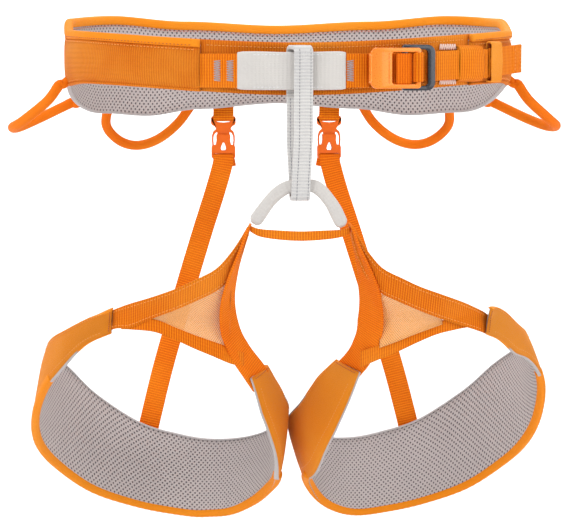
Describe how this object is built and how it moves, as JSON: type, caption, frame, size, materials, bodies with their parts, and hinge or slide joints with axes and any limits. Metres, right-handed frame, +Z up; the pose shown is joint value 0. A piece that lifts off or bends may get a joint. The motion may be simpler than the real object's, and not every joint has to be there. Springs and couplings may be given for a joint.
{
  "type": "climbing sit harness",
  "caption": "Sit harness with a padded waist belt, double-back buckle, tie-in strap, belay loop, leg loops on a bridge, elastic rear risers with clips, and gear loops.",
  "frame": {"origin": "centre of the waist ring, level with the middle of the tie-in strap's buckle", "axes": "+Z up, -Y to the wearer's front, -X to the wearer's right"},
  "size_m": [0.3924, 0.2605, 0.3685],
  "materials": {
    "orange_shell": "woven polyester, matt",
    "orange_webbing": "ribbed nylon webbing",
    "grey_mesh": "perforated spacer mesh",
    "white_webbing": "white polyethylene webbing",
    "orange_aluminium": "anodised satin",
    "dark_aluminium": "anodised gloss",
    "orange_plastic": "moulded plastic"
  },
  "bodies": {
    "waist_belt": {"belt_outer_shell": "orange_shell", "belt_mesh_lining": "grey_mesh", "belt_top_binding": "orange_shell", "belt_front_tongue": "orange_shell", "tie_in_webbing": "orange_webbing", "tie_in_sleeve": "white_webbing", "buckle_base_frame": "dark_aluminium", "buckle_anchor_webbing": "orange_webbing", "adjusting_strap": "orange_webbing", "strap_keeper_front": "orange_webbing", "strap_keeper_rear": "orange_webbing", "leg_bridge_sleeve": "white_webbing", "leg_cross_strap": "orange_webbing", "right_riser_stub": "orange_webbing", "right_riser_clip_socket": "orange_plastic", "right_riser_strap": "orange_webbing", "left_riser_stub": "orange_webbing", "left_riser_clip_socket": "orange_plastic", "left_riser_strap": "orange_webbing"},
    "belay_loop": {"belay_loop": "white_webbing"},
    "buckle_adjuster": {"buckle_adjuster_frame": "orange_aluminium"},
    "strap_tail": {"strap_tail": "orange_webbing"},
    "right_leg_loop": {"right_leg_pad_shell": "orange_shell", "right_leg_pad_lining": "grey_mesh", "right_leg_pad_binding": "orange_shell", "right_leg_upper_web": "orange_webbing", "right_leg_lower_web": "orange_webbing", "right_leg_inner_web": "orange_webbing", "right_leg_mesh_panel": "orange_shell"},
    "right_side_gear_loop": {"right_side_gear_loop_tube": "orange_plastic", "right_side_gear_loop_cord": "orange_webbing"},
    "right_rear_gear_loop": {"right_rear_gear_loop_tube": "orange_plastic", "right_rear_gear_loop_cord": "orange_webbing"},
    "right_riser_plug": {"right_riser_clip_plug": "orange_plastic"},
    "left_leg_loop": {"left_leg_pad_shell": "orange_shell", "left_leg_pad_lining": "grey_mesh", "left_leg_pad_binding": "orange_shell", "left_leg_upper_web": "orange_webbing", "left_leg_lower_web": "orange_webbing", "left_leg_inner_web": "orange_webbing", "left_leg_mesh_panel": "orange_shell"},
    "left_side_gear_loop": {"left_side_gear_loop_tube": "orange_plastic", "left_side_gear_loop_cord": "orange_webbing"},
    "left_rear_gear_loop": {"left_rear_gear_loop_tube": "orange_plastic", "left_rear_gear_loop_cord": "orange_webbing"},
    "left_riser_plug": {"left_riser_clip_plug": "orange_plastic"}
  },
  "joints": [
    {"name": "belay_loop_swing", "type": "hinge", "parent": "waist_belt", "child": "belay_loop", "pos_m": [0, -0.12366, -0.0014], "axis": [1, 0, 0], "range_deg": [-8, 8], "deforming": ["leg_bridge_sleeve"]},
    {"name": "right_leg_swing", "type": "hinge", "parent": "waist_belt", "child": "right_leg_loop", "pos_m": [0, -0.113, -0.1075], "axis": [1, 0, 0], "range_deg": [-9, 9], "stiffness_Nm_per_rad": 25, "deforming": ["right_riser_strap"]},
    {"name": "left_leg_swing", "type": "hinge", "parent": "waist_belt", "child": "left_leg_loop", "pos_m": [0, -0.113, -0.1075], "axis": [1, 0, 0], "range_deg": [-9, 9], "stiffness_Nm_per_rad": 25, "deforming": ["left_riser_strap"]},
    {"name": "buckle_adjuster_tilt", "type": "hinge", "parent": "waist_belt", "child": "buckle_adjuster", "pos_m": [0.07836, -0.11276, 0], "axis": [0, 0, 1], "range_deg": [0, 20]},
    {"name": "strap_tail_feed", "type": "slide", "parent": "waist_belt", "child": "strap_tail", "axis": [0.6222, 0.7806, 0.0599], "range_m": [0, 0.008]},
    {"name": "right_side_gear_loop_flex", "type": "hinge", "parent": "waist_belt", "child": "right_side_gear_loop", "pos_m": [-0.15939, -0.01771, -0.0125], "axis": [0.1181, 0.973, -0.1984], "range_deg": [-12, 30], "stiffness_Nm_per_rad": 0.4},
    {"name": "right_rear_gear_loop_flex", "type": "hinge", "parent": "waist_belt", "child": "right_rear_gear_loop", "pos_m": [-0.12482, 0.08617, -0.029], "axis": [0.9061, 0.4221, 0.0285], "range_deg": [-4, 40], "stiffness_Nm_per_rad": 0.4},
    {"name": "left_side_gear_loop_flex", "type": "hinge", "parent": "waist_belt", "child": "left_side_gear_loop", "pos_m": [0.15939, -0.01771, -0.0125], "axis": [0.1181, -0.973, 0.1984], "range_deg": [-12, 30], "stiffness_Nm_per_rad": 0.4},
    {"name": "left_rear_gear_loop_flex", "type": "hinge", "parent": "waist_belt", "child": "left_rear_gear_loop", "pos_m": [0.12482, 0.08617, -0.029], "axis": [0.9061, -0.4221, -0.0285], "range_deg": [-4, 40], "stiffness_Nm_per_rad": 0.4},
    {"name": "right_riser_clip_release", "type": "slide", "parent": "waist_belt", "child": "right_riser_plug", "axis": [0, 0, 1], "range_m": [0, 0.01], "deforming": ["right_riser_stub"]},
    {"name": "left_riser_clip_release", "type": "slide", "parent": "waist_belt", "child": "left_riser_plug", "axis": [0, 0, 1], "range_m": [0, 0.01], "deforming": ["left_riser_stub"]}
  ]
}
